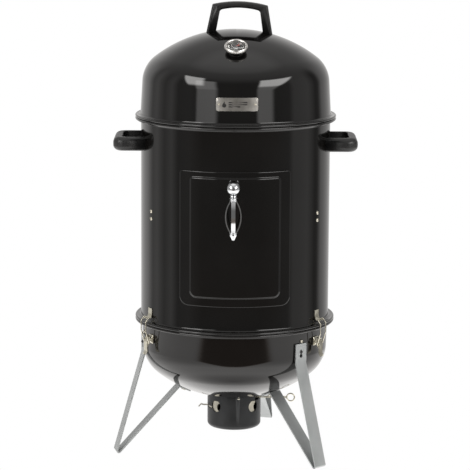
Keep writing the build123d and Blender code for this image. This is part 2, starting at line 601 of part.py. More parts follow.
for name, azimuth in LEG_AZIMUTHS.items():
    with BuildPart() as leg:
        with BuildSketch(radial_plane(azimuth)):
            with BuildLine() as middle_line:
                outer = tangent_angle(leg_r, LEG_KINK_Z, FOOT_BEND_R, 1)
                inner = tangent_angle(inner_kink.X, inner_kink.Z, FOOT_BEND_R, -1)
                foot = [(FOOT_R + FOOT_BEND_R * math.cos(math.radians(a)),
                         foot_height + FOOT_BEND_R * math.sin(math.radians(a)))
                        for a in (outer + 90, (outer + inner) / 2, inner - 90)]
                Polyline((leg_r, LEG_TOP_Z), (leg_r, LEG_KINK_Z), foot[0])
                ThreePointArc(*foot)
                Polyline(foot[2], (inner_kink.X, inner_kink.Z), (inner_end.X, inner_end.Z))
            trace(line_width=LEG_T)
        extrude(amount=LEG_W / 2, both=True)
        with BuildSketch(facing_plane(azimuth, leg_r - 10, 0)):
            with Locations((0, 253)):
                Circle(4.6)
            with Locations((0, 259)):
                Rectangle(5.0, 12)
            with Locations((0, 265)):
                Circle(2.5)
        extrude(amount=20, mode=Mode.SUBTRACT)
        with Locations(dome_plane(azimuth, INNER_BOLT_R, -BOWL_CROWN_R, BOWL_BOTTOM)):
            Cylinder(3.1, 30, mode=Mode.SUBTRACT)
    save(leg.part, f"leg_{name}")

with BuildPart() as leg_studs:
    for azimuth in LEG_AZIMUTHS.values():
        with Locations(facing_plane(azimuth, leg_r + LEG_T / 2 + SNUG, LEG_STUD_Z)):
            Sphere(3.8, arc_size1=0, align=MINZ)
            Cylinder(2.2, 11, align=(Align.CENTER, Align.CENTER, Align.MAX))
save(leg_studs.part, "leg_studs")

with BuildPart() as leg_bolts:
    for azimuth in LEG_AZIMUTHS.values():
        with Locations(dome_plane(azimuth, INNER_BOLT_R, -BOWL_CROWN_R, BOWL_BOTTOM, LEG_T + 0.7)):
            Cylinder(5.4, 3, align=MINZ)
            Cylinder(3.0, 12, align=(Align.CENTER, Align.CENTER, Align.MAX))
save(leg_bolts.part, "leg_bolts")

with BuildPart() as leg_nuts:
    for azimuth in LEG_AZIMUTHS.values():
        with BuildSketch(dome_plane(azimuth, INNER_BOLT_R, -BOWL_CROWN_R, BOWL_BOTTOM, -WALL - 5.4)):
            RegularPolygon(6, 6)
            Circle(3.0 + SNUG, mode=Mode.SUBTRACT)
        extrude(amount=5)
save(leg_nuts.part, "leg_nuts")

# ---- clasps: over-centre catches that clamp the barrel to the bowl -------------------------
CLASP_PIVOT_R, CLASP_PIVOT_Z = 226.0, 282.0
LOOP_PIVOT_R, LOOP_PIVOT_Z = 230.0, 271.0
LOOP_TOP_R, LOOP_TOP_Z = 230.5, 332.0
WIRE_R = 1.3
LOOP_HALF_W = 12.2
for name, azimuth in CLASP_AZIMUTHS.items():
    with BuildPart() as clasp_base:
        with BuildSketch(facing_plane(azimuth, bowl_wall_r + 0.5, CLASP_PIVOT_Z - 3)):
            RectangleRounded(24, 20, 3)
        extrude(amount=1.4)
        with BuildSketch(radial_plane(azimuth)):
            with BuildLine():
                Polyline((bowl_wall_r + 1, CLASP_PIVOT_Z - 12), (bowl_wall_r + 1, CLASP_PIVOT_Z + 6),
                         (CLASP_PIVOT_R, CLASP_PIVOT_Z + 5), (CLASP_PIVOT_R + 4, CLASP_PIVOT_Z),
                         (CLASP_PIVOT_R, CLASP_PIVOT_Z - 5), close=True)
            make_face()
        extrude(amount=9.6, both=True)
        with BuildSketch(radial_plane(azimuth)):
            with Locations((CLASP_PIVOT_R + 5, CLASP_PIVOT_Z - 2)):
                Rectangle(17, 30)
        extrude(amount=8.4, both=True, mode=Mode.SUBTRACT)
        with BuildSketch(radial_plane(azimuth)):
            with Locations((CLASP_PIVOT_R, CLASP_PIVOT_Z)):
                Circle(1.5)
        extrude(amount=10.6, both=True)
    save(clasp_base.part, f"clasp_base_{name}")

    with BuildPart() as clasp_lever:
        with BuildSketch(radial_plane(azimuth)):
            with BuildLine():
                Polyline((CLASP_PIVOT_R + 1.5, CLASP_PIVOT_Z + 2.5), (LOOP_PIVOT_R + 3.4, LOOP_PIVOT_Z + 3),
                         (LOOP_PIVOT_R + 2.4, 252), (LOOP_PIVOT_R + 6.5, 244))
            trace(line_width=1.4)
        extrude(amount=7.9, both=True)
        for side in (-1, 1):
            with BuildSketch(radial_plane(azimuth).offset(side * 7.2)):
                with BuildLine():
                    Polyline((CLASP_PIVOT_R - 2.4, CLASP_PIVOT_Z), (CLASP_PIVOT_R, CLASP_PIVOT_Z + 3.2),
                             (LOOP_PIVOT_R + 3, LOOP_PIVOT_Z + 3.5), (LOOP_PIVOT_R + 2, LOOP_PIVOT_Z - 8),
                             (LOOP_PIVOT_R - 2.6, LOOP_PIVOT_Z - 3), close=True)
                make_face()
            extrude(amount=0.7, both=True)
        with BuildSketch(radial_plane(azimuth)):
            with Locations((CLASP_PIVOT_R, CLASP_PIVOT_Z)):
                Circle(1.55)
            with Locations((LOOP_PIVOT_R, LOOP_PIVOT_Z)):
                Circle(WIRE_R + 0.06)
        extrude(amount=20, both=True, mode=Mode.SUBTRACT)
    save(clasp_lever.part, f"clasp_lever_{name}")

    loop_side = [(LOOP_PIVOT_R, LOOP_PIVOT_Z), (238.5, 300), (238.5, 322), (LOOP_TOP_R, LOOP_TOP_Z)]
    with BuildPart() as clasp_loop:
        with BuildLine(radial_plane(azimuth)) as wire_path:
            up_one_side = [(r, z, -LOOP_HALF_W) for r, z in loop_side]
            down_the_other = [(r, z, LOOP_HALF_W) for r, z in reversed(loop_side)]
            FilletPolyline((LOOP_PIVOT_R, LOOP_PIVOT_Z, 5.4 - LOOP_HALF_W), *up_one_side, *down_the_other,
                           (LOOP_PIVOT_R, LOOP_PIVOT_Z, LOOP_HALF_W - 5.4), radius=2.4)
        with BuildSketch(Plane(origin=wire_path.line @ 0, z_dir=wire_path.line % 0)):
            Circle(WIRE_R)
        sweep(path=wire_path.line)
    save(clasp_loop.part, f"clasp_loop_{name}")

    with BuildPart() as clasp_keeper:
        with BuildSketch(radial_plane(azimuth)):
            with BuildLine():
                Polyline((BODY_R + 0.9, 352), (BODY_R + 0.9, LOOP_TOP_Z + 6), (BODY_R + 4, LOOP_TOP_Z - 2.6),
                         (LOOP_TOP_R + 2.5, LOOP_TOP_Z - 2.6))
            trace(line_width=1.5)
        extrude(amount=9, both=True)
    save(clasp_keeper.part, f"clasp_keeper_{name}")

# ---- ash can under the bowl, with a turning damper -----------------------------------------
CAN_TOP = bowl_height(CAN_R - CAN_WALL) - SNUG * 4
TAB_AZIMUTH, TAB_Z = 183, 98.0
DAMPER_OPEN, DAMPER_SHUT = -13, 24      # degrees of travel either way
LEVER_AZIMUTH, LEVER_Z, LEVER_T = -6, 119.0, 2.6
LEVER_SWING = 22


def wedge(start, end, radius):
    """Add a triangle from the axis that covers a circle between two azimuths to the sketch in hand."""
    reach = radius / math.cos(math.radians(end - start) / 2)
    Polygon((0, 0), around(start, reach)[:2], around(end, reach)[:2], align=None)


with BuildPart() as ash_can:
    with BuildSketch(Plane.XZ):
        with BuildLine():
            can_floor = Line((0, CAN_BOTTOM + CAN_WALL / 2), (CAN_R - 10, CAN_BOTTOM + CAN_WALL / 2))
            can_bend = JernArc(can_floor @ 1, (1, 0), 10 - CAN_WALL / 2, 90)
            Line(can_bend @ 1, (CAN_R - CAN_WALL / 2, CAN_TOP))
        trace(line_width=CAN_WALL)
    revolve(axis=Axis.Z)
    for azimuth in AIR_AZIMUTHS:
        with BuildSketch(facing_plane(azimuth, 30, AIR_HOLE_Z)):
            Circle(AIR_HOLE_R)
        extrude(amount=50, mode=Mode.SUBTRACT)
    with BuildSketch(Plane.XY.offset(TAB_Z - 1)):
        wedge(TAB_AZIMUTH + DAMPER_OPEN - 7, TAB_AZIMUTH + DAMPER_SHUT + 7, CAN_R + 3)
    extrude(amount=5, mode=Mode.SUBTRACT)
    with BuildSketch(Plane.XY.offset(LEVER_Z - 1)):
        wedge(LEVER_AZIMUTH - LEVER_SWING - 10, LEVER_AZIMUTH + LEVER_SWING + 10, CAN_R + 3)
    extrude(amount=20, mode=Mode.SUBTRACT)
    for azimuth in CAN_SCREW_AZIMUTHS:
        with BuildSketch(dome_plane(azimuth, CAN_SCREW_R, -BOWL_CROWN_R, BOWL_BOTTOM, SNUG * 2)):
            RectangleRounded(14, 20, 3)
        extrude(amount=1.4)
    with BuildSketch(Plane.XY.offset(BOWL_BOTTOM)):
        Circle(CAN_R - CAN_WALL)
    extrude(amount=20, mode=Mode.SUBTRACT)
    for azimuth in CAN_SCREW_AZIMUTHS:
        with Locations(dome_plane(azimuth, CAN_SCREW_R, -BOWL_CROWN_R, BOWL_BOTTOM)):
            Cylinder(2.1, 20, mode=Mode.SUBTRACT)
save(ash_can.part, "ash_can")

with BuildPart() as can_screws:
    for azimuth in CAN_SCREW_AZIMUTHS:
        with Locations(dome_plane(azimuth, CAN_SCREW_R, -BOWL_CROWN_R, BOWL_BOTTOM, 1.4 + 3 * SNUG)):
            Sphere(3.4, arc_size1=0, align=MINZ)
            Cylinder(2.0, 7, align=(Align.CENTER, Align.CENTER, Align.MAX))
save(can_screws.part, "can_screws")

SLEEVE_R, SLEEVE_T, SLEEVE_LOW, SLEEVE_HIGH = CAN_R - CAN_WALL - 0.35, 1.0, 61.5, 117.0
with BuildPart() as damper_sleeve:
    with BuildSketch(Plane.XY.offset(SLEEVE_LOW)):
        Circle(SLEEVE_R)
        Circle(SLEEVE_R - SLEEVE_T, mode=Mode.SUBTRACT)
    extrude(amount=SLEEVE_HIGH - SLEEVE_LOW)
    with BuildSketch(Plane.XY.offset(TAB_Z)):
        wedge(TAB_AZIMUTH - 7, TAB_AZIMUTH + 7, CAN_R + 3)
    extrude(amount=2.4, mode=Mode.SUBTRACT)
    for azimuth in AIR_AZIMUTHS:
        with BuildSketch(facing_plane(azimuth + DAMPER_OFFSET, 30, AIR_HOLE_Z - 2)):
            Circle(AIR_HOLE_R - 2.5)
        extrude(amount=50, mode=Mode.SUBTRACT)
save(damper_sleeve.part, "damper_sleeve")

# The tab is riveted inside the sleeve's wall and reaches out through the can's slot.
with BuildPart() as damper_tab:
    with BuildSketch(radial_plane(TAB_AZIMUTH)):
        with BuildLine():
            Polyline((SLEEVE_R - SLEEVE_T - 0.95, TAB_Z - 14), (SLEEVE_R - SLEEVE_T - 0.95, TAB_Z + 1.2),
                     (72, TAB_Z + 1.2), (78, TAB_Z + 3), (84, TAB_Z - 3))
        trace(line_width=1.2)
    extrude(amount=5, both=True)
save(damper_tab.part, "damper_tab")

# ---- ash sweeper: vanes in the bowl, turned by a lever under it ----------------------------
HUB_Z = bowl_height(0, inside=True) + 0.6
with BuildPart() as sweeper_vanes:
    with Locations((0, 0, HUB_Z)):
        Cylinder(13, 5, align=MINZ)
    for azimuth in (90, 210, 330):
        with BuildSketch(radial_plane(azimuth)):
            with BuildLine():
                Polyline(*[(r, bowl_height(r, inside=True) + 0.8) for r in (10, 30, 54, 78, 100)],
                         (100, bowl_height(100, inside=True) + 9), (10, HUB_Z + 12), close=True)
            make_face()
        extrude(amount=1.2, both=True)
    with Locations((0, 0, HUB_Z)):
        Cylinder(SPINDLE_R + SNUG, 20, mode=Mode.SUBTRACT)
save(sweeper_vanes.part, "sweeper_vanes")

with BuildPart() as sweeper_spindle:
    with Locations((0, 0, LEVER_Z - 3)):
        Cylinder(SPINDLE_R, HUB_Z + 9 - LEVER_Z + 3, align=MINZ)
    with Locations((0, 0, HUB_Z + 5 + SNUG)):
        Cylinder(8, 4, align=MINZ)
save(sweeper_spindle.part, "sweeper_spindle")

RIVET_R, RING_R, RING_WIRE = 94.0, 9.0, 1.6
LEVER_END = 124.0
with BuildPart() as sweeper_lever:
    with BuildSketch(Plane(origin=(0, 0, LEVER_Z), z_dir=(0, 0, 1),
                           x_dir=(math.cos(math.radians(LEVER_AZIMUTH)), math.sin(math.radians(LEVER_AZIMUTH)), 0))):
        Circle(11)
        with Locations((LEVER_END / 2, 0)):
            Rectangle(LEVER_END, 13)
        Circle(SPINDLE_R + SNUG, mode=Mode.SUBTRACT)
        with Locations((RIVET_R, 0)):
            Circle(2.05, mode=Mode.SUBTRACT)
    extrude(amount=LEVER_T)
save(sweeper_lever.part, "sweeper_lever")

ring_reach = LEVER_END + RING_R + RING_WIRE
with BuildPart() as sweeper_ring:
    with Locations(radial_plane(LEVER_AZIMUTH) * Pos(ring_reach, LEVER_Z + LEVER_T / 2)):
        Torus(RING_R, RING_WIRE)
save(sweeper_ring.part, "sweeper_ring")

with BuildPart() as sweeper_rivet:
    with Locations(around(LEVER_AZIMUTH, RIVET_R, LEVER_Z - SNUG)):
        Sphere(3.6, arc_size1=-90, arc_size2=0, align=(Align.CENTER, Align.CENTER, Align.MAX))
        Cylinder(2.0, LEVER_T + 2, align=MINZ)
save(sweeper_rivet.part, "sweeper_rivet")
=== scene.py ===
"""Looks of an upright charcoal water smoker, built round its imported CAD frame.

Millimetres are used for sizes here and turned to metres as each mesh is made.
Azimuths are degrees counter-clockwise from +X, so the front is at -90.
"""
import math

import bmesh
import bpy
from mathutils import Matrix, Vector


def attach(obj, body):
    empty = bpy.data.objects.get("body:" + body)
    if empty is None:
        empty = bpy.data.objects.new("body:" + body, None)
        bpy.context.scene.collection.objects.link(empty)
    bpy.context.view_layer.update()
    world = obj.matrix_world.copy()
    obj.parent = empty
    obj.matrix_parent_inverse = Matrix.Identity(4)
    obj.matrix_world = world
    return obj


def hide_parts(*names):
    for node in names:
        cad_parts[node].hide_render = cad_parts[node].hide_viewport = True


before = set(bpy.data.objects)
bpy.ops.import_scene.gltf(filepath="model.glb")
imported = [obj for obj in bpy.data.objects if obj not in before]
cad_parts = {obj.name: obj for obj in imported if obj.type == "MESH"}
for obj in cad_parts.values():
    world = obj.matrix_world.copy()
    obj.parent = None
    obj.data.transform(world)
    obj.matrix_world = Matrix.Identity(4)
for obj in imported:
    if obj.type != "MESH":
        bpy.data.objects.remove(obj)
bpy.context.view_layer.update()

# ---- lid shell ---------------------------------------------------------------------------------------
# Deep-drawn steel dome, 2 mm, with a rolled rim, coated in vitreous enamel that is fired on.
# The glaze flows to a mirror gloss with a very faint orange peel and hardly any colour.
WALL, BEAD_R, BEAD_OUT = 2.0, 3.1, 233.4
LID_TOP, LID_CROWN_R, LID_KNUCKLE_R, LID_WALL_R, LID_FLARE = 989.4, 309.4, 74.4, 217.1, 3.3
LID_SEAM, LID_FLANGE, LID_WALL_END = 787.9, 1.6, 11.0
ROUND_STEPS, LID_CROWN_STEPS, KNUCKLE_STEPS = 288, 60, 36
OUTER_FILLET_STEPS, BEAD_STEPS, INNER_FILLET_STEPS = 10, 40, 8


def linear(hex_colour):
    """An sRGB hex colour as the linear RGBA that shader sockets take."""
    parts = [int(hex_colour[i:i + 2], 16) / 255 for i in (1, 3, 5)]
    return tuple(c / 12.92 if c <= 0.04045 else ((c + 0.055) / 1.055) ** 2.4 for c in parts) + (1.0,)


def add(tree, kind, sockets=None, **settings):
    """Add a node to a tree with its settings; sockets maps an input to a value or an output."""
    made = tree.nodes.new(kind)
    for key, value in settings.items():
        setattr(made, key, value)
    for key, value in (sockets or {}).items():
        if isinstance(value, bpy.types.NodeSocket):
            tree.links.new(value, made.inputs[key])
        else:
            made.inputs[key].default_value = value
    return made


def surface(name, **constants):
    """A new material with its tree, its Principled surface and its Object coordinates."""
    material = bpy.data.materials.new(name)
    material.use_nodes = True
    tree = material.node_tree
    principled = tree.nodes["Principled BSDF"]
    for key, value in constants.items():
        principled.inputs[key.replace("_", " ")].default_value = value
    place = add(tree, "ShaderNodeTexCoord").outputs["Object"]
    return material, tree, principled, place


def tone(tree, fac, dark, light, low=0.3, high=0.7):
    """Two colours mixed by a pattern, the pattern's low and high values giving each colour."""
    ramp = add(tree, "ShaderNodeValToRGB", {"Fac": fac})
    for stop, position, colour in zip(ramp.color_ramp.elements, (low, high), (dark, light)):
        stop.position, stop.color = position, linear(colour)
    return ramp.outputs["Color"]


def worked(name, colours, cloud, fine, relief, gloss, gloss_from="cloud", stretch=None, **constants):
    """A material of slow clouds between two colours under a fine relief.

    cloud and fine are each a noise's (scale per metre, detail), relief is the bump's (strength, metres),
    and gloss is the range of roughness that one of the two noises gives. With stretch, the fine noise
    has its own scale along each axis, for marks that run one way.
    """
    material, tree, principled, place = surface(name, **constants)
    along = place
    if stretch:
        along = add(tree, "ShaderNodeMapping", {"Vector": place, "Scale": stretch}).outputs["Vector"]
    noises = {}
    for key, way, (scale, detail) in (("cloud", place, cloud), ("fine", along, fine)):
        noise = add(tree, "ShaderNodeTexNoise", {"Vector": way, "Scale": scale, "Detail": detail})
        noises[key] = noise.outputs["Fac"]
    bump = add(tree, "ShaderNodeBump", {"Height": noises["fine"], "Strength": relief[0],
                                        "Distance": relief[1]})
    roughness = add(tree, "ShaderNodeMapRange", {"Value": noises[gloss_from], "To Min": gloss[0],
                                                 "To Max": gloss[1]})
    tree.links.new(tone(tree, noises["cloud"], *colours), principled.inputs["Base Color"])
    tree.links.new(roughness.outputs["Result"], principled.inputs["Roughness"])
    tree.links.new(bump.outputs["Normal"], principled.inputs["Normal"])
    return material


def vitreous_enamel(name, dark, light, gloss):
    """Fired black glaze: mirror gloss, 7 mm orange peel about ten microns high, slow change of colour."""
    return worked(name, (dark, light), cloud=(9.0, 3.0), fine=(140.0, 1.0), relief=(0.16, 0.00006),
                  gloss=(gloss * 0.8, gloss * 1.3), IOR=1.5)


def arc(centre_r, centre_z, radius, start, end, steps):
    """Points of an arc in the profile plane, angles in degrees from outwards."""
    angles = [math.radians(start + (end - start) * i / steps) for i in range(steps + 1)]
    return [(centre_r + radius * math.cos(a), centre_z + radius * math.sin(a)) for a in angles]


def new_piece(name, work, material, body, *nodes, crease=35):
    """Turn a bmesh in millimetres into a shaded piece that rides on a body and stands for CAD nodes."""
    mesh = bpy.data.meshes.new(name)
    bmesh.ops.recalc_face_normals(work, faces=work.faces)
    work.to_mesh(mesh)
    work.free()
    mesh.transform(Matrix.Scale(0.001, 4))
    finish_piece(name, mesh, material, body, nodes, crease)


def finish_piece(name, mesh, material, body, nodes, crease):
    """Shade a mesh smooth up to a crease angle, give it its material and hang it on its body."""
    mesh.materials.clear()
    mesh.materials.append(material)
    mesh.shade_smooth()
    mesh.set_sharp_from_angle(angle=math.radians(crease))
    piece = bpy.data.objects.new(name, mesh)
    bpy.context.scene.collection.objects.link(piece)
    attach(piece, body)
    if nodes:
        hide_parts(*nodes)
        for node in nodes:
            dress(node, material)


def dress(node, material):
    """Give a CAD node its material."""
    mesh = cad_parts[node].data
    mesh.materials.clear()
    mesh.materials.append(material)


def turned(profile, azimuths, closed):
    """Spin a profile of (radius, height) about the axis at the given azimuths, all round."""
    work = bmesh.new()
    rings = []
    for radius, height in profile:
        if radius < 1e-6:
            rings.append([work.verts.new((0, 0, height))] * len(azimuths))
        else:
            rings.append([work.verts.new((radius * math.cos(a), radius * math.sin(a), height))
                          for a in azimuths])
    pairs = list(zip(rings, rings[1:])) + ([(rings[-1], rings[0])] if closed else [])
    for first, second in pairs:
        for i in range(len(azimuths)):
            j = (i + 1) % len(azimuths)
            corners = []
            for vert in (first[i], first[j], second[j], second[i]):
                if vert not in corners:
                    corners.append(vert)
            work.faces.new(corners)
    return work


def all_round(count):
    """Evenly spaced azimuths, in radians."""
    return [2 * math.pi * i / count for i in range(count)]


def dome_wall(crown_r, knuckle_r, wall_r):
    """Where a dome's knuckle is centred, out from the axis and down from the apex, and its start angle."""
    out = wall_r - knuckle_r
    drop = math.sqrt((crown_r - knuckle_r) ** 2 - out ** 2)
    return out, crown_r - drop, math.degrees(math.atan2(out, drop))


def rolled_rim(wall_r, seam, up, flange, round_r=5.0):
    """Profile of a rim from the wall's outside to its inside: fillet, flange, bead, flange, wall."""
    middle = seam + up * BEAD_R
    top, low = flange + WALL / 2, flange - WALL / 2
    meet_top, meet_low = (math.degrees(math.asin(h / BEAD_R)) for h in (top, low))
    inner_r = round_r + WALL
    points = arc(wall_r + round_r, top + round_r, round_r, 180, 270, OUTER_FILLET_STEPS)
    points += arc(BEAD_OUT - BEAD_R, 0, BEAD_R, 180 - meet_top, -180 - meet_low, BEAD_STEPS)
    points += arc(wall_r + round_r, low + inner_r, inner_r, 270, 180, INNER_FILLET_STEPS)
    return [(x, middle + up * z) for x, z in points]


def lid_side(offset):
    """Profile of the dome from its top to its wall, on the outside or a wall's thickness in."""
    crown = arc(0, LID_TOP - LID_CROWN_R, LID_CROWN_R - offset, 90, 90 - knuckle_start, LID_CROWN_STEPS)
    knuckle = arc(knuckle_out, LID_TOP - knuckle_down, LID_KNUCKLE_R - offset, 90 - knuckle_start, LID_FLARE,
                  KNUCKLE_STEPS)
    return [(0, LID_TOP - offset)] + crown[1:] + knuckle[1:]


enamel_lid = vitreous_enamel("vitreous_enamel_lid", "#070606", "#0B0A09", 0.055)
knuckle_out, knuckle_down, knuckle_start = dome_wall(LID_CROWN_R, LID_KNUCKLE_R, LID_WALL_R)
lean = math.tan(math.radians(LID_FLARE))
lid_foot_r = LID_WALL_R + (LID_TOP - knuckle_down - LID_SEAM - LID_WALL_END) * lean
lid_profile = lid_side(0) + rolled_rim(lid_foot_r, LID_SEAM, 1, LID_FLANGE) + lid_side(WALL)[::-1]
new_piece("lid_dome", turned(lid_profile, all_round(ROUND_STEPS), False), enamel_lid, "lid", "lid_shell")

# ---- barrel ------------------------------------------------------------------------------------------
# Rolled and welded sheet with the same glaze, a rolled rim at each end and an opening cut for
# the fire door; the cut edge is glazed over.
BODY_R, SEAM_TOP, SEAM_LOW, BODY_FLANGE = 220.0, 787.6, 314.3, 1.8
OPENING_HALF_W, OPENING_LOW, OPENING_HIGH = 104.0, 395.5, 672.0
OPENING_COLUMNS, OPENING_ROWS = 48, 12
enamel_barrel = vitreous_enamel("vitreous_enamel_barrel", "#080706", "#0C0B0A", 0.065)
opening_turn = math.asin(OPENING_HALF_W / BODY_R)
rest_turn, rest_columns = 2 * math.pi - 2 * opening_turn, ROUND_STEPS - OPENING_COLUMNS
azimuths = [-math.pi / 2 - opening_turn + 2 * opening_turn * i / OPENING_COLUMNS
            for i in range(OPENING_COLUMNS)]
azimuths += [-math.pi / 2 + opening_turn + rest_turn * i / rest_columns for i in range(rest_columns)]
heights = [OPENING_HIGH + (OPENING_LOW - OPENING_HIGH) * i / OPENING_ROWS for i in range(OPENING_ROWS + 1)]
barrel_profile = [(BODY_R, z) for z in heights] + rolled_rim(BODY_R, SEAM_LOW, 1, BODY_FLANGE)
barrel_profile += [(BODY_R - WALL, z) for z in heights[::-1]]
barrel_profile += rolled_rim(BODY_R, SEAM_TOP, -1, BODY_FLANGE)[::-1]


def in_opening(face):
    """Whether a face of the wall lies inside the door's opening."""
    middle = face.calc_center_median()
    return abs(middle.x) < OPENING_HALF_W and middle.y < 0 and OPENING_LOW < middle.z < OPENING_HIGH


work = turned(barrel_profile, azimuths, True)
bmesh.ops.delete(work, geom=[face for face in work.faces if in_opening(face)], context="FACES")
bmesh.ops.bridge_loops(work, edges=[edge for edge in work.edges if edge.is_boundary])
new_piece("barrel_wall", work, enamel_barrel, "stand", "barrel")

# ---- bowl --------------------------------------------------------------------------------------------
# Drawn bowl, glazed like the barrel. The ash slots in its bottom, which the can hides, are left out.
BOWL_BOTTOM, BOWL_CROWN_R, BOWL_KNUCKLE_R, BOWL_WALL_R, BOWL_FLARE = 122.6, 297.8, 80.4, 216.2, 1.5
BOWL_RIM_R, SPINDLE_HOLE_R, BOWL_CROWN_STEPS = 218.0, 5.1, 50
enamel_bowl = vitreous_enamel("vitreous_enamel_bowl", "#090706", "#0D0B0A", 0.07)
bowl_out, bowl_up, bowl_start = dome_wall(BOWL_CROWN_R, BOWL_KNUCKLE_R, BOWL_WALL_R)


def bowl_side(offset):
    """Profile of the bowl from its spindle hole to its wall, on the outside or a wall's thickness in."""
    start = math.degrees(math.asin(SPINDLE_HOLE_R / BOWL_CROWN_R))
    crown = arc(0, BOWL_BOTTOM + BOWL_CROWN_R, BOWL_CROWN_R - offset, -90 + start, -90 + bowl_start,
                BOWL_CROWN_STEPS)
    knuckle = arc(bowl_out, BOWL_BOTTOM + bowl_up, BOWL_KNUCKLE_R - offset, -90 + bowl_start, -BOWL_FLARE,
                  KNUCKLE_STEPS)
    return crown + knuckle[1:]


bowl_profile = bowl_side(0) + rolled_rim(BOWL_RIM_R, SEAM_LOW, -1, BODY_FLANGE) + bowl_side(WALL)[::-1]
new_piece("bowl_shell", turned(bowl_profile, all_round(ROUND_STEPS), True), enamel_bowl, "stand", "bowl")

# ---- fire door ---------------------------------------------------------------------------------------
# Pressed sheet, 1.6 mm, with a raised panel and a flat border; the press leaves soft edges and
# the glaze runs thin over them, so they catch the light.
DOOR_R, DOOR_SHEET, PAD_RISE = 221.2, 1.6, 4.0
DOOR_EDGES = (125.7, 377.0, 687.0, 20.0, 7.0)  # half width, bottom, top, bottom and top corner radius
PAD_EDGES = (102.0, 398.0, 673.4, 14.0, 7.0)
CORNER_STEPS, SIDE_STEPS, LEVEL_STEPS = 10, 24, 40
enamel_door = vitreous_enamel("vitreous_enamel_door", "#080706", "#0C0B0A", 0.06)


def rounded_outline(half_w, low, high, low_r, top_r):
    """Outline of a panel as (x, z) from its lower right corner, the same number of points for any size."""
    corners = ((half_w - low_r, low + low_r, low_r), (half_w - top_r, high - top_r, top_r),
               (-half_w + top_r, high - top_r, top_r), (-half_w + low_r, low + low_r, low_r))
    rounds = [arc(*corner, 90 * k - 90, 90 * k, CORNER_STEPS) for k, corner in enumerate(corners)]
    outline = []
    for k, points in enumerate(rounds):
        (x, z), (next_x, next_z) = points[-1], rounds[(k + 1) % 4][0]
        count = LEVEL_STEPS if k % 2 else SIDE_STEPS
        outline += points
        outline += [(x + (next_x - x) * i / count, z + (next_z - z) * i / count) for i in range(1, count)]
    return outline


def pressed_ring(work, inset, radius, edges):
    """Add one outline of the door, inset from the border's or the raised panel's edges, at a radius."""
    half_w, low, high, low_r, top_r = edges
    outline = rounded_outline(half_w - inset, low + inset, high - inset, low_r - inset, top_r - inset)
    return [work.verts.new((x, -math.sqrt(radius * radius - x * x), z)) for x, z in outline]


def join_rings(work, first, second):
    """Close the band between two outlines."""
    for i in range(len(first)):
        j = (i + 1) % len(first)
        work.faces.new((first[i], first[j], second[j], second[i]))


def close_middle(work, ring):
    """Fill an outline with upright strips between the middles of its corners, and its two sides."""
    right_low = CORNER_STEPS // 2
    right_top = right_low + CORNER_STEPS + SIDE_STEPS
    left_top = right_top + CORNER_STEPS + LEVEL_STEPS
    left_low = left_top + CORNER_STEPS + SIDE_STEPS
    top = ring[right_top:left_top + 1][::-1]
    low = ring[left_low:] + ring[:right_low + 1]
    for k in range(1, len(top) - 2):
        work.faces.new((low[k], low[k + 1], top[k + 1], top[k]))
    work.faces.new(ring[left_top:left_low + 1] + [low[1], top[1]])
    work.faces.new(ring[right_low:right_top + 1] + [top[-2], low[-2]])


outer_r, pad_r = DOOR_R + DOOR_SHEET, DOOR_R + DOOR_SHEET + PAD_RISE
# The pressing's section, as (inset, radius) steps: behind the raised panel from its middle outwards,
# round the border's edge, and back in over the border and the raised panel.
hollow = [(3.4, pad_r - 1.8), (2.3, pad_r - 2.2), (1.9, DOOR_R + 0.5), (1.5, DOOR_R)]
border = [(0.0, DOOR_R), (0.0, outer_r - 1.3), (0.38, outer_r - 0.42), (1.3, outer_r), (2.2, outer_r),
          (4.4, outer_r)]
panel = [(-3.4, outer_r), (-2.2, outer_r), (-1.6, outer_r), (-0.7, outer_r + 0.15), (-0.15, outer_r + 0.6),
         (0.1, outer_r + 1.3), (0.3, pad_r - 1.9), (0.75, pad_r - 0.9), (1.5, pad_r - 0.3),
         (2.5, pad_r - 0.04), (3.4, pad_r), (4.6, pad_r)]
work = bmesh.new()
rings = [pressed_ring(work, *step, edges)
         for part, edges in ((hollow, PAD_EDGES), (border, DOOR_EDGES), (panel, PAD_EDGES)) for step in part]
for first, second in zip(rings, rings[1:]):
    join_rings(work, first, second)
close_middle(work, rings[0])
close_middle(work, rings[-1])
new_piece("door_pressing", work, enamel_door, "door", "door_panel", crease=50)

# ---- handles of the lid and the barrel ---------------------------------------------------------------
# Glass-filled nylon mouldings, satin black, bolted on from inside; the fine spark-eroded grain
# of the mould spreads the light into a broad soft band.
SEAM_GAP = 0.000005  # metres: closer vertices of a CAD mesh are one


def merged(node, name, material, body, crease=35):
    """A CAD node's shape with its seams merged, so that its curves shade smoothly."""
    work = bmesh.new()
    work.from_mesh(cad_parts[node].data)
    bmesh.ops.remove_doubles(work, verts=work.verts, dist=SEAM_GAP)
    mesh = bpy.data.meshes.new(name)
    work.to_mesh(mesh)
    work.free()
    finish_piece(name, mesh, material, body, [node], crease)


def moulded_nylon(name, dark, light, gloss):
    """Moulded or printed satin plastic: 0.9 mm grain a few hundredths high."""
    return worked(name, (dark, light), cloud=(25.0, 3.0), fine=(1100.0, 2.0), relief=(0.35, 0.00004),
                  gloss=(gloss - 0.05, gloss + 0.05), IOR=1.5)


nylon = moulded_nylon("moulded_nylon_black", "#131313", "#1C1C1C", 0.42)
merged("lid_handle", "lid_grip", nylon, "lid")
merged("side_handle_left", "grip_left", nylon, "stand")
merged("side_handle_right", "grip_right", nylon, "stand")


def plated_steel(name, dark, light, gloss, grain=(400.0, 400.0, 400.0), height=0.00002):
    """Plated or bare steel: its tone drifts slowly and fine marks follow the way it was worked."""
    return worked(name, (dark, light), cloud=(60.0, 4.0), fine=(1.0, 3.0), relief=(0.4, height),
                  gloss=(gloss * 0.8, gloss * 1.25), gloss_from="fine", stretch=grain, Metallic=1.0)


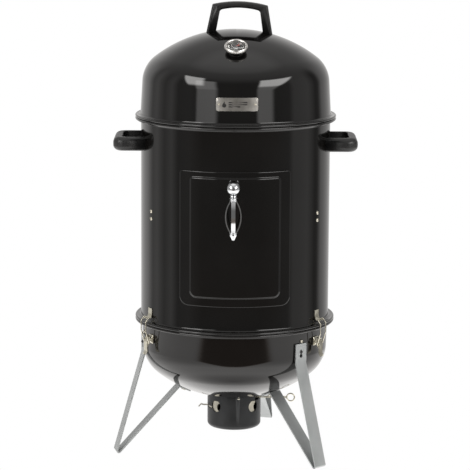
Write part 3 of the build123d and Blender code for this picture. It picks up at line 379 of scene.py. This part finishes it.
zinc = plated_steel("zinc_plated_steel", "#A9A498", "#D2CDBE", 0.3)
for screws, body in (("lid_handle_screws", "lid"), ("side_handle_screws", "stand")):
    merged(screws, screws + "_zinc", zinc, body)

# ---- thermometer -------------------------------------------------------------------------------------
# Spun stainless case with a bright bezel, a printed dial, a red pointer and a pressed glass, held
# by a nut on its stem inside the lid.
THERMO_R, CASE_LIFT, DIAL_SEAT, DIAL_SHEET, MARK_LIFT = 147.0, 7.0, 2.65, 0.8, 0.06
SCALE_SWEEP, SCALE_STEPS, LONG_EVERY, SHORT_SIZE = 135.0, 40, 4, 0.62
ZONE_START, ZONE_STEP, ZONE_MARKS = 20.0, 2.5, 28
STROKES_R, ZONE_R = 17.6, 13.2
bright_stainless = plated_steel("spun_stainless", "#CDCBC7", "#E2E0DC", 0.34)
merged("thermo_case", "thermo_bezel", bright_stainless, "lid", crease=25)
tilt = math.asin(THERMO_R / LID_CROWN_R)
dial_out = Vector((0, -math.sin(tilt), math.cos(tilt)))
dial_up = Vector((0, math.cos(tilt), math.sin(tilt)))
dial_right = Vector((1, 0, 0))
dial_lift = LID_CROWN_R + CASE_LIFT + DIAL_SEAT + DIAL_SHEET
dial_frame = Matrix((dial_right, dial_up, dial_out)).transposed().to_4x4()
dial_frame.translation = Vector((0, 0, LID_TOP - LID_CROWN_R)) + dial_out * dial_lift
dress("thermo_dial", moulded_nylon("printed_dial_black", "#2A2C2F", "#35383B", 0.5))
marking_white = moulded_nylon("printed_marking_white", "#C9C9C4", "#DADAD4", 0.5)
marking_red = moulded_nylon("printed_marking_red", "#9C2A1C", "#B13424", 0.45)


def grown(name, build, sockets, points, material, body, *nodes):
    """Grow a shape on points by Geometry Nodes and keep the result as one piece.

    build makes the shape in the tree from the group's inputs, sockets gives those inputs in millimetres,
    and each point is (position, facing, across, size).
    """
    tree = bpy.data.node_groups.new(name, "GeometryNodeTree")
    tree.interface.new_socket("Geometry", in_out="INPUT", socket_type="NodeSocketGeometry")
    tree.interface.new_socket("Geometry", in_out="OUTPUT", socket_type="NodeSocketGeometry")
    made = {key: tree.interface.new_socket(key, in_out="INPUT", socket_type="NodeSocketFloat")
            for key in sockets}
    start, end = add(tree, "NodeGroupInput"), add(tree, "NodeGroupOutput")
    shape = build(tree, start)
    facing = add(tree, "GeometryNodeInputNamedAttribute", {"Name": "facing"}, data_type="FLOAT_VECTOR")
    across = add(tree, "GeometryNodeInputNamedAttribute", {"Name": "across"}, data_type="FLOAT_VECTOR")
    size = add(tree, "GeometryNodeInputNamedAttribute", {"Name": "size"}, data_type="FLOAT")
    upright = add(tree, "FunctionNodeAlignRotationToVector", {"Vector": facing.outputs["Attribute"]},
                  axis="Z")
    turn = add(tree, "FunctionNodeAlignRotationToVector",
               {"Rotation": upright.outputs["Rotation"], "Vector": across.outputs["Attribute"]},
               axis="X", pivot_axis="Z")
    placed = add(tree, "GeometryNodeInstanceOnPoints",
                 {"Points": start.outputs["Geometry"], "Instance": shape,
                  "Rotation": turn.outputs["Rotation"], "Scale": size.outputs["Attribute"]})
    real = add(tree, "GeometryNodeRealizeInstances", {"Geometry": placed.outputs["Instances"]})
    coated = add(tree, "GeometryNodeSetMaterial",
                 {"Geometry": real.outputs["Geometry"], "Material": material})
    tree.links.new(coated.outputs["Geometry"], end.inputs["Geometry"])

    spots, facings, acrosses, sizes = zip(*points)
    mesh = bpy.data.meshes.new(name + "_points")
    mesh.from_pydata([spot / 1000 for spot in spots], [], [])
    for key, vectors in (("facing", facings), ("across", acrosses)):
        layer = mesh.attributes.new(key, "FLOAT_VECTOR", "POINT")
        layer.data.foreach_set("vector", [c for vector in vectors for c in vector])
    mesh.attributes.new("size", "FLOAT", "POINT").data.foreach_set("value", sizes)
    holder = bpy.data.objects.new(name + "_holder", mesh)
    bpy.context.scene.collection.objects.link(holder)
    modifier = holder.modifiers.new(name, "NODES")
    modifier.node_group = tree
    for key, value in sockets.items():
        modifier[made[key].identifier] = value / 1000
    bpy.context.view_layer.update()
    result = bpy.data.meshes.new_from_object(holder.evaluated_get(bpy.context.evaluated_depsgraph_get()))
    holder.modifiers.remove(modifier)
    bpy.data.objects.remove(holder)
    finish_piece(name, result, material, body, nodes, crease=35)


def tick(tree, start):
    """A printed stroke: a thin flat bar."""
    size = add(tree, "ShaderNodeCombineXYZ", {"X": start.outputs["Width"], "Y": start.outputs["Length"],
                                             "Z": start.outputs["Height"]})
    return add(tree, "GeometryNodeMeshCube", {"Size": size.outputs["Vector"]}).outputs["Mesh"]


def on_dial(radius, degrees, size=1.0):
    """A mark's point on the dial for grown; 0 degrees is up, clockwise."""
    a = math.radians(degrees)
    spot = dial_frame @ Vector((radius * math.sin(a), radius * math.cos(a), MARK_LIFT))
    return spot, dial_out, dial_right * math.cos(a) - dial_up * math.sin(a), size


strokes = [on_dial(STROKES_R, -SCALE_SWEEP + 2 * SCALE_SWEEP * i / SCALE_STEPS,
                   SHORT_SIZE if i % LONG_EVERY else 1.0) for i in range(SCALE_STEPS + 1)]
zone = [on_dial(ZONE_R, ZONE_START + ZONE_STEP * i) for i in range(ZONE_MARKS)]
grown("dial_strokes", tick, {"Width": 0.55, "Length": 3.4, "Height": 0.1}, strokes, marking_white, "lid")
grown("dial_zone", tick, {"Width": 0.66, "Length": 1.5, "Height": 0.1}, zone, marking_red, "lid")
merged("thermo_needle", "pointer", marking_red, "needle")
# Pressed glass: clear and smooth, its colour all but even.
clear_glass, tree, principled, place = surface("pressed_glass", IOR=1.5, Roughness=0.02,
                                               Transmission_Weight=1.0)
haze = add(tree, "ShaderNodeTexNoise", {"Vector": place, "Scale": 80.0, "Detail": 2.0})
tree.links.new(tone(tree, haze.outputs["Fac"], "#F2F6F6", "#FFFFFF"), principled.inputs["Base Color"])
merged("thermo_glass", "dial_glass", clear_glass, "lid")
merged("thermo_stem", "probe", bright_stainless, "lid")
dress("thermo_nut", zinc)

# ---- name plate --------------------------------------------------------------------------------------
# Stainless strip, bent to the lid and riveted at both ends. It is brushed lengthways, in 0.4 mm
# lines that smear reflections up and down. A plain flame and three bars are etched and filled black.
PLATE_AZIMUTH, PLATE_Z, PLATE_T, PLATE_GAP = -89.2, 839.6, 1.2, 0.35
FILL_SINK, FILL_LIFT = -0.2, 0.12
FLAME_ACROSS, BAR_HALF_H, BAR_STEPS = -29, 1.2, 12
brushed = plated_steel("brushed_stainless", "#A5A29C", "#C2BFB9", 0.3, (30.0, 30.0, 2600.0), 0.00003)
merged("name_plate", "plate", brushed, "lid")
merged("plate_rivets", "plate_rivet_heads", zinc, "lid")
plate_r = LID_WALL_R + PLATE_GAP + PLATE_T + (LID_TOP - knuckle_down - PLATE_Z) * lean
fill_black = moulded_nylon("etched_fill_black", "#141414", "#1C1B1B", 0.45)


def etched(work, outline):
    """Lay a flat outline of (across, up) millimetres on the plate as a thin raised fill."""
    low, top = [], []
    for across, up in outline:
        for lift, row in ((FILL_SINK, low), (FILL_LIFT, top)):
            radius = plate_r - up * lean + lift
            a = math.radians(PLATE_AZIMUTH) + across / plate_r
            row.append(work.verts.new((radius * math.cos(a), radius * math.sin(a), PLATE_Z + up)))
    work.faces.new(top)
    work.faces.new(low[::-1])
    join_rings(work, low, top)


work = bmesh.new()
flame = [(0, -7), (3.2, -6.2), (4.8, -3.6), (4.4, -0.6), (2.9, 1.6), (2.5, -0.4), (1.4, 2.6), (0.9, 5.2),
         (-0.6, 7.4), (-0.9, 4.6), (-2.4, 2.2), (-4.2, -0.4), (-4.8, -3.4), (-3.2, -6.2)]
etched(work, [(x + FLAME_ACROSS, z) for x, z in flame])
for middle, half, height in ((2, 21, 4.4), (2, 21, -0.4), (-6, 13, -5.2)):
    across = [middle - half + 2 * half * i / BAR_STEPS for i in range(BAR_STEPS + 1)]
    etched(work, [(x, height - BAR_HALF_H) for x in across]
           + [(x, height + BAR_HALF_H) for x in across[::-1]])
new_piece("plate_etching", work, fill_black, "lid")

# ---- door latch --------------------------------------------------------------------------------------
# Chromed cast ball with four bowed steel strips below it, on a plated spindle; the open grip stays
# cool. Chrome mirrors the room with a slight blue.
chrome = plated_steel("chrome_plate", "#C2C4C6", "#D8DADC", 0.13)
merged("latch_ball", "latch_knob", chrome, "latch", crease=28)
merged("latch_cage", "latch_coil_grip", chrome, "latch", crease=28)
merged("latch_spindle", "latch_shaft", zinc, "latch")
dress("latch_tongue", zinc)
dress("latch_nut", zinc)
dress("door_lips", enamel_door)

# ---- screws and studs --------------------------------------------------------------------------------
# Zinc-plated pan heads with a cross recess, driven through the sheet into the brackets. The studs
# that carry the legs are black with the bowl's glaze, as painted shade that makes their keyholes read dark.
SCREW_HEAD_R = 4.4
HEAD_FLATTEN, CROSS_LENGTH, CROSS_WIDTH = 0.62, 1.15, 0.26  # of the head's radius
BRACKET_AZIMUTHS, BRACKET_SCREW_Z = (-151, -31, 89), (562.0, 579.0)
BOWL_SCREW_AZIMUTHS, BOWL_SCREW_R, BOWL_SCREW_Z = (-45, 75, 195), 218.4, 286.0


def pan_head(tree, start):
    """A shallow dome with a cross recess cut into it."""
    radius = start.outputs["Head Radius"]
    ball = add(tree, "GeometryNodeMeshUVSphere", {"Segments": 28, "Rings": 14, "Radius": radius})
    flat = add(tree, "GeometryNodeTransform", {"Geometry": ball.outputs["Mesh"],
                                               "Scale": (1.0, 1.0, HEAD_FLATTEN)})
    length, width, lift = (add(tree, "ShaderNodeMath", {0: radius, 1: part}, operation="MULTIPLY").outputs[0]
                           for part in (CROSS_LENGTH, CROSS_WIDTH, HEAD_FLATTEN))
    place = add(tree, "ShaderNodeCombineXYZ", {"Z": lift})
    cut = flat.outputs["Geometry"]
    for first, second in ((length, width), (width, length)):
        size = add(tree, "ShaderNodeCombineXYZ", {"X": first, "Y": second, "Z": width})
        bar = add(tree, "GeometryNodeMeshCube", {"Size": size.outputs["Vector"]})
        moved = add(tree, "GeometryNodeTransform", {"Geometry": bar.outputs["Mesh"],
                                                    "Translation": place.outputs["Vector"]})
        cut = add(tree, "GeometryNodeMeshBoolean", {"Mesh 1": cut, "Mesh 2": moved.outputs["Geometry"]},
                  operation="DIFFERENCE").outputs["Mesh"]
    return cut


def on_wall(azimuth, radius, height, twist):
    """A screw's point on an upright wall for grown, its cross turned by the twist in degrees."""
    a, t = math.radians(azimuth), math.radians(twist)
    out = Vector((math.cos(a), math.sin(a), 0))
    side = Vector((-math.sin(a), math.cos(a), 0)) * math.cos(t) + Vector((0, 0, math.sin(t)))
    return out * radius + Vector((0, 0, height)), out, side, 1.0


# Every cross stops at its own angle, as hand-driven screws do.
heads = [on_wall(a, BODY_R, z, 20 + 1.7 * a + z) for a in BRACKET_AZIMUTHS for z in BRACKET_SCREW_Z]
grown("bracket_screw_heads", pan_head, {"Head Radius": SCREW_HEAD_R}, heads, zinc, "stand", "bracket_screws")
heads = [on_wall(a, BOWL_SCREW_R, BOWL_SCREW_Z, 35 + a) for a in BOWL_SCREW_AZIMUTHS]
grown("bowl_screw_heads", pan_head, {"Head Radius": SCREW_HEAD_R}, heads, zinc, "stand", "bowl_screws")
for node in ("leg_bolts", "can_screws"):
    merged(node, node + "_heads", zinc, "stand")
# Painted shade: the leg studs take the black bowl glaze so that the keyholes look shadowed.
merged("leg_studs", "leg_stud_heads_painted_shade", enamel_bowl, "stand")
dress("leg_nuts", zinc)

# ---- clasps ------------------------------------------------------------------------------------------
# Three over-centre catches that hold the barrel on the bowl: pressed bases, keepers and levers, and
# bent wire loops. Yellow zinc plating gives them a pale straw tone with a soft gloss.
yellow_zinc = plated_steel("yellow_zinc_plate", "#BDB8A6", "#DEDACB", 0.3)
for side in ("right", "left", "back"):
    for part, body in (("base", "stand"), ("keeper", "stand"), ("lever", "lever_" + side),
                       ("loop", "loop_" + side)):
        merged(f"clasp_{part}_{side}", f"catch_{part}_{side}", yellow_zinc, body)

# ---- legs --------------------------------------------------------------------------------------------
# Flat bar, 34 x 3 mm, bent into a V and powder-coated aluminium grey, the coat slightly textured:
# 1.4 mm grit that scatters the light.
leg_coat = worked("aluminium_grey_coat", ("#A3A6A6", "#B1B4B4"), cloud=(18.0, 4.0), fine=(700.0, 2.0),
                  relief=(0.3, 0.00005), gloss=(0.36, 0.5), gloss_from="fine", Metallic=0.75)
for leg in ("front_right", "back", "left"):
    merged("leg_" + leg, "leg_bar_" + leg, leg_coat, "stand", crease=25)

# ---- ash can, damper and sweeper ---------------------------------------------------------------------
# Spun can with a dark burnished finish, its fine lines running round it; the damper sleeve inside
# it is left in bright zinc.
burnished = worked("burnished_dark_steel", ("#2A2B2C", "#343536"), cloud=(30.0, 4.0), fine=(1.0, 2.0),
                   relief=(0.25, 0.00003), gloss=(0.36, 0.48), stretch=(20.0, 20.0, 1500.0), Metallic=0.6)
merged("ash_can", "ash_can_shell", burnished, "stand", crease=30)
merged("damper_sleeve", "damper_ring", zinc, "damper")
dress("damper_tab", zinc)
dress("sweeper_vanes", zinc)
merged("sweeper_spindle", "sweeper_shaft", zinc, "sweeper")
merged("sweeper_lever", "sweeper_bar", yellow_zinc, "sweeper")
merged("sweeper_ring", "sweeper_pull", yellow_zinc, "sweeper")
merged("sweeper_rivet", "sweeper_rivet_head", zinc, "sweeper")

# ---- inside: brackets, grates and pan ----------------------------------------------------------------
# Bright-plated wire grates on pressed brackets screwed to the wall, and a drawn water pan with the
# same enamel. The charcoal grate's heavier rods are bare steel that heat has turned brown-grey.
wire = plated_steel("bright_plated_wire", "#B4B4B2", "#D0D0CC", 0.2)
for node, body in (("upper_grate", "upper_rack"), ("lower_grate", "lower_rack")):
    merged(node, node + "_wires", wire, body)
heat_dark = plated_steel("heat_darkened_steel", "#5B5650", "#7C766E", 0.42)
merged("charcoal_grate", "charcoal_grate_rods", heat_dark, "coal_rack")
merged("water_pan", "pan_shell", vitreous_enamel("vitreous_enamel_pan", "#0A0909", "#111010", 0.12), "pan")
for node in ("grate_brackets", "bowl_brackets", "lid_tongues"):
    dress(node, zinc)

# ---- floor -------------------------------------------------------------------------------------------
# A plain white floor, seen only by the camera; the room below gives the same white to reflections.
FLOOR_HALF, FLOOR_DROP = 60.0, 0.0005  # metres
material = bpy.data.materials.new("studio_floor_white")
material.use_nodes = True
tree = material.node_tree
tree.nodes.clear()
glow = add(tree, "ShaderNodeEmission", {"Color": linear("#FFFFFF"), "Strength": 1.0})
add(tree, "ShaderNodeOutputMaterial", {"Surface": glow.outputs["Emission"]})
mesh = bpy.data.meshes.new("studio_floor")
corners = [(x * FLOOR_HALF, y * FLOOR_HALF, -FLOOR_DROP) for x, y in ((-1, -1), (1, -1), (1, 1), (-1, 1))]
mesh.from_pydata(corners, [], [(0, 1, 2, 3)])
mesh.materials.append(material)
floor = bpy.data.objects.new("studio_floor", mesh)
bpy.context.scene.collection.objects.link(floor)
floor.visible_diffuse = floor.visible_glossy = floor.visible_transmission = floor.visible_shadow = False

# ---- light -------------------------------------------------------------------------------------------
# The studio: a dim room in front, pale sides and back, a lit ceiling, a white floor, and two soft boxes
# on either side of the camera. Directions are degrees: turn from the front towards +X, and height.
world = bpy.data.worlds.new("studio")
bpy.context.scene.world = world
world.use_nodes = True
tree = world.node_tree
tree.nodes.clear()


def sum_of(*values, operation="ADD"):
    """Chain a Math operation over sockets or numbers."""
    total = values[0]
    for value in values[1:]:
        total = add(tree, "ShaderNodeMath", {0: total, 1: value}, operation=operation).outputs[0]
    return total


def span(value, low, high, to_low=0.0, to_high=1.0, kind="LINEAR"):
    """A value between two limits turned to another range."""
    return add(tree, "ShaderNodeMapRange", {"Value": value, "From Min": low, "From Max": high,
                                            "To Min": to_low, "To Max": to_high},
               interpolation_type=kind).outputs["Result"]


def soft_step(value, low, high, to_high=1.0):
    """A smooth step from 0 between two limits."""
    return span(value, low, high, 0.0, to_high, "SMOOTHSTEP")


def levels(value, low, high, points):
    """A grey ramp over a range of degrees; points are (degrees, brightness up to 2)."""
    ramp = add(tree, "ShaderNodeValToRGB", {"Fac": span(value, low, high)})
    stops = ramp.color_ramp.elements
    for i, (degrees, bright) in enumerate(points):
        stop = stops[i] if i < 2 else stops.new(1.0)
        stop.position = (degrees - low) / (high - low)
        stop.color = (bright / 2, bright / 2, bright / 2, 1)
    return sum_of(ramp.outputs["Color"], 2.0, operation="MULTIPLY")


way = add(tree, "ShaderNodeSeparateXYZ", {"Vector": add(tree, "ShaderNodeTexCoord").outputs["Generated"]})
to_degrees = 180 / math.pi
rise = add(tree, "ShaderNodeMath", {0: way.outputs["Z"]}, operation="ARCSINE").outputs[0]
height = sum_of(rise, to_degrees, operation="MULTIPLY")
front = sum_of(way.outputs["Y"], -1.0, operation="MULTIPLY")
turn = sum_of(sum_of(way.outputs["X"], front, operation="ARCTAN2"), to_degrees, operation="MULTIPLY")
aside = add(tree, "ShaderNodeMath", {0: turn}, operation="ABSOLUTE").outputs[0]
walls = levels(turn, -180, 180, [
    (-180, 0.8), (180, 0.8), (-133, 0.8), (-120, 0.4), (-110, 0.6), (-96, 0.35), (-84, 0.6), (-74, 0.25),
    (-58, 0.3), (-40, 0.18), (30, 0.17), (68, 0.24), (75, 0.52), (98, 0.5), (106, 0.3), (113, 0.13),
    (119, 0.15), (128, 0.6), (138, 0.9)])
ceiling = levels(height, -90, 90, [
    (-90, 0.4), (90, 1.15), (20, 0.4), (40, 0.5), (55, 0.62), (66, 0.95), (72, 1.12)])
room = add(tree, "ShaderNodeMix", {"Factor": soft_step(height, 18, 42), "A": walls, "B": ceiling})
floor_light = levels(height, -90, 90, [
    (-90, 0.7), (90, 1.15), (-70, 1.2), (-55, 1.9), (-35, 1.9), (-22, 1.2), (-14, 0.9)])
floor_edge = sum_of(-30.0, soft_step(aside, 4, 58, 16.0))
on_floor = soft_step(sum_of(height, floor_edge, operation="SUBTRACT"), 1.5, -2.5)
base = add(tree, "ShaderNodeMix", {"Factor": on_floor, "A": room.outputs["Result"], "B": floor_light})


def soft_box(low, high, edge_low, edge_high, strength):
    """A lit panel: turn limits at its lower and upper edge, as (start, end), with soft borders."""
    starts, ends = (span(height, low, high, edge_low[i], edge_high[i]) for i in (0, 1))
    inside = sum_of(soft_step(sum_of(turn, starts, operation="SUBTRACT"), -1.0, 3.5),
                    soft_step(sum_of(ends, turn, operation="SUBTRACT"), -1.0, 6.0),
                    soft_step(height, low - 3.0, low + 6.0),
                    soft_step(height, high + 1.5, high - 1.5), operation="MULTIPLY")
    return sum_of(inside, strength, operation="MULTIPLY")


light = sum_of(base.outputs["Result"],
               soft_box(12, 37, (-62, -38), (-78, -42), 6.6), soft_box(-2, 28, (-49, -20), (-55, -24), 2.3),
               soft_box(-4, 8, (24, 45), (26, 54), 1.6), soft_box(9, 32, (26, 54), (32, 84), 7.0))
# The room low in front, above the floor's edge, is a little warm, as far round as the sides.
warmth = sum_of(soft_step(height, -6, -16), soft_step(on_floor, 1.0, 0.0), soft_step(aside, 70, 40),
                operation="MULTIPLY")
tint = add(tree, "ShaderNodeMix", {"A": (1.0, 0.985, 0.97, 1.0), "B": (1.0, 0.86, 0.76, 1.0)},
           data_type="RGBA")
tree.links.new(warmth, tint.inputs["Factor"])
studio = add(tree, "ShaderNodeBackground", {"Color": tint.outputs[2], "Strength": light})
backdrop = add(tree, "ShaderNodeBackground", {"Color": (1.0, 1.0, 1.0, 1.0), "Strength": 1.0})
seen = add(tree, "ShaderNodeLightPath").outputs["Is Camera Ray"]
both = add(tree, "ShaderNodeMixShader", {0: seen, 1: studio.outputs[0], 2: backdrop.outputs[0]})
add(tree, "ShaderNodeOutputWorld", {"Surface": both.outputs[0]})
bpy.context.scene.view_settings.view_transform = "Standard"

# ---- camera ------------------------------------------------------------------------------------------
# A long lens from a little above the lid, pitched down to the middle of the barrel.
EYE, PITCH, ROLL = (0, -5.548, 1.456), 80.29, 0.33  # metres and degrees
lens = bpy.data.cameras.new("camera")
lens.lens, lens.sensor_width, lens.clip_end = 183.8, 36.0, 200.0
camera = bpy.data.objects.new("camera", lens)
camera.matrix_world = (Matrix.Translation(EYE) @ Matrix.Rotation(math.radians(PITCH), 4, "X")
                       @ Matrix.Rotation(math.radians(ROLL), 4, "Z"))
bpy.context.scene.collection.objects.link(camera)
bpy.context.scene.camera = camera
